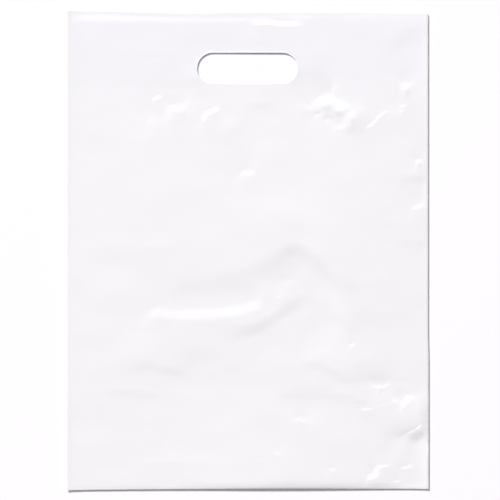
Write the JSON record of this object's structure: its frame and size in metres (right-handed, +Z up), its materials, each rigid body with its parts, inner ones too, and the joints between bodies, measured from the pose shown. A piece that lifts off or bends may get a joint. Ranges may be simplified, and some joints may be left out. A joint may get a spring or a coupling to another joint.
{
  "type": "plastic carrier bag",
  "caption": "Flat carrier bag of glossy white film with a bottom fold, welded sides, a turned-over open mouth and a punched oval hand slot, lying on its back.",
  "frame": {"origin": "on the surface that the bag lies on, under the middle of the bag", "axes": "+X across the bag, +Y along the bag towards its mouth, +Z up, out of the front panel"},
  "size_m": [0.306, 0.4064, 0.0036],
  "materials": {
    "film": "glossy white polyethylene film"
  },
  "bodies": {
    "root": {"carrier_bag": "film"}
  },
  "joints": []
}
